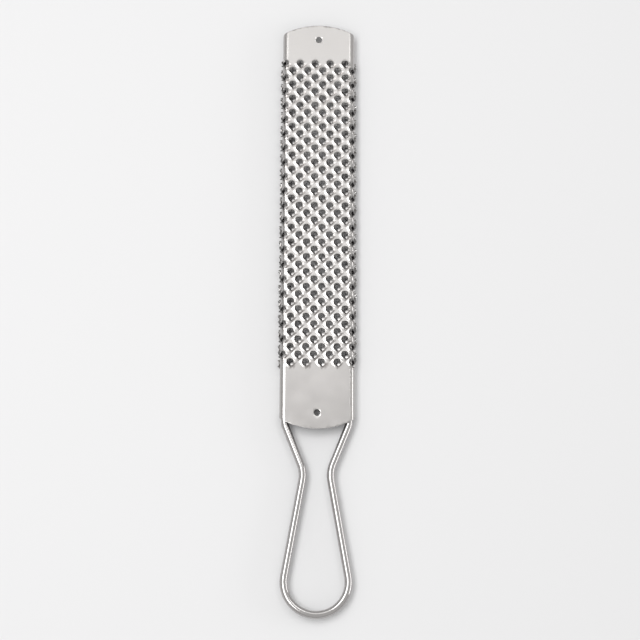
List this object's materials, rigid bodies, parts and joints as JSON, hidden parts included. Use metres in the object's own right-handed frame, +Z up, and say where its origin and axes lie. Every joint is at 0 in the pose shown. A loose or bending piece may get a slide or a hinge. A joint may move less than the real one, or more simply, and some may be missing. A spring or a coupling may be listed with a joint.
{
  "type": "wood rasp",
  "caption": "Flat hand rasp of punched stainless sheet with ragged raised teeth, folded long edges and a bent wire loop handle.",
  "frame": {"origin": "centre of the bounding box at its lowest level, where the folded edges rest on a bench", "axes": "+Z up out of the toothed face, +Y along the rasp from the handle to the tip, +X to the right"},
  "size_m": [0.0408, 0.3154, 0.0083],
  "materials": {
    "stainless_sheet": "satin rolled stainless, brighter where the teeth are torn",
    "stainless_wire": "polished drawn wire"
  },
  "bodies": {
    "root": {"rasp_blade": "stainless_sheet", "wire_handle": "stainless_wire"}
  },
  "joints": []
}
